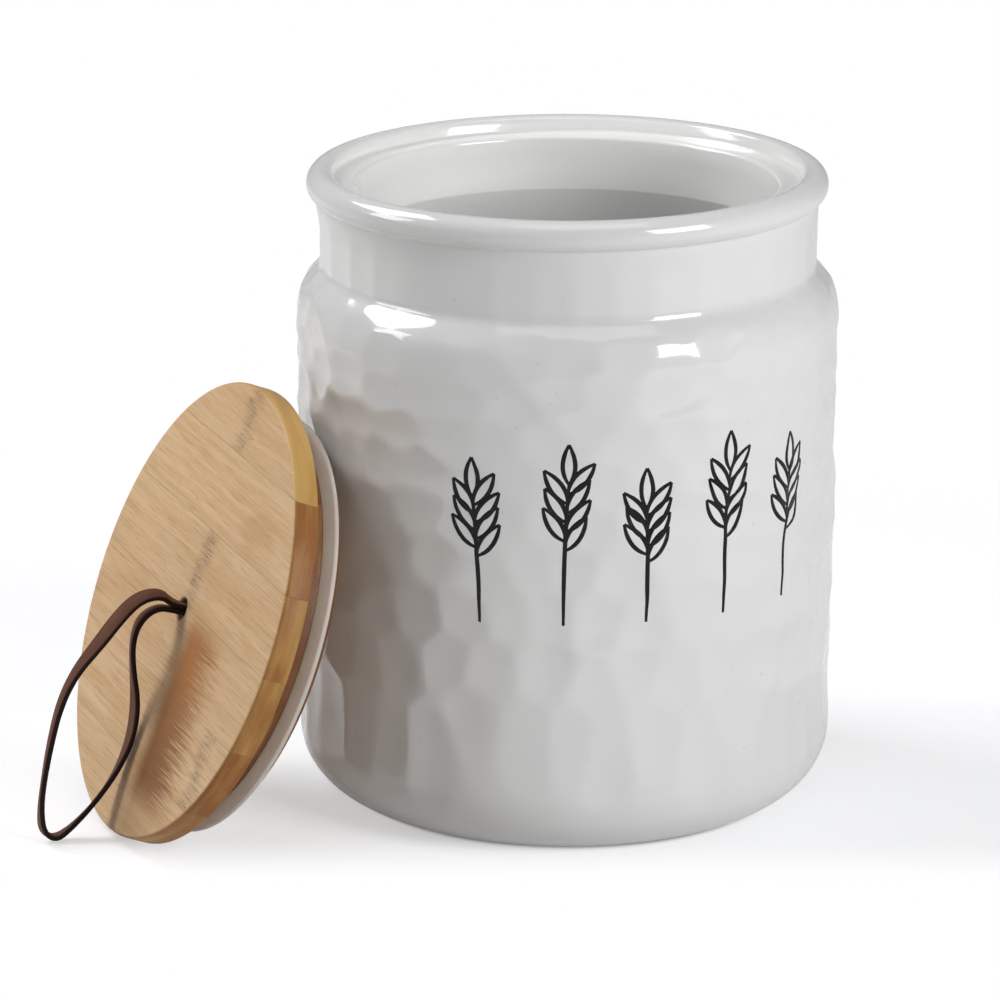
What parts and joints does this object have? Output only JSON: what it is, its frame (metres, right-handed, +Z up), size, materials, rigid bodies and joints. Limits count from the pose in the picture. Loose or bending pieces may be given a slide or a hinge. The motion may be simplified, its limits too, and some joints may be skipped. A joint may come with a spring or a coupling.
{
  "type": "biscuit jar",
  "caption": "White hammered ceramic biscuit jar with a rolled rim, standing open, its round bamboo lid with silicone gasket and leather thong leaning against the side.",
  "frame": {"origin": "centre of the jar's foot, on the surface it stands on", "axes": "+Z up the jar's axis; the view direction of the main picture is about +Y, with +X to the right; the lid leans on the jar's -X side"},
  "size_m": [0.2401, 0.1929, 0.193],
  "materials": {
    "glaze": "glossy white glaze over a softly dimpled wall",
    "bamboo_board": "oiled light bamboo, glued strips",
    "bamboo_plug": "oiled light bamboo, glued strips",
    "silicone": "translucent milky silicone",
    "leather": "dark brown flat thong"
  },
  "bodies": {
    "jar": {"jar_body": "glaze"},
    "lid": {"lid_board_strip_1": "bamboo_board", "lid_board_strip_2": "bamboo_board", "lid_board_strip_3": "bamboo_board", "lid_board_strip_4": "bamboo_board", "lid_board_strip_5": "bamboo_board", "lid_board_strip_6": "bamboo_board", "lid_plug_strip_1": "bamboo_plug", "lid_plug_strip_2": "bamboo_plug", "lid_plug_strip_3": "bamboo_plug", "lid_plug_strip_4": "bamboo_plug", "lid_plug_strip_5": "bamboo_plug", "lid_gasket": "silicone"},
    "strap": {"strap_loop": "leather", "strap_tail_1": "leather", "strap_tail_2": "leather", "strap_knot": "leather"}
  },
  "joints": [
    {"name": "lid_lift", "type": "slide", "parent": "jar", "child": "lid", "axis": [-0.8546, -0.3734, 0.3608], "range_m": [0, 0.15]},
    {"name": "strap_turn", "type": "hinge", "parent": "lid", "child": "strap", "pos_m": [-0.11428, -0.04578, 0.06786], "axis": [-0.8546, -0.3734, 0.3608], "range_deg": [-60, 60]}
  ]
}
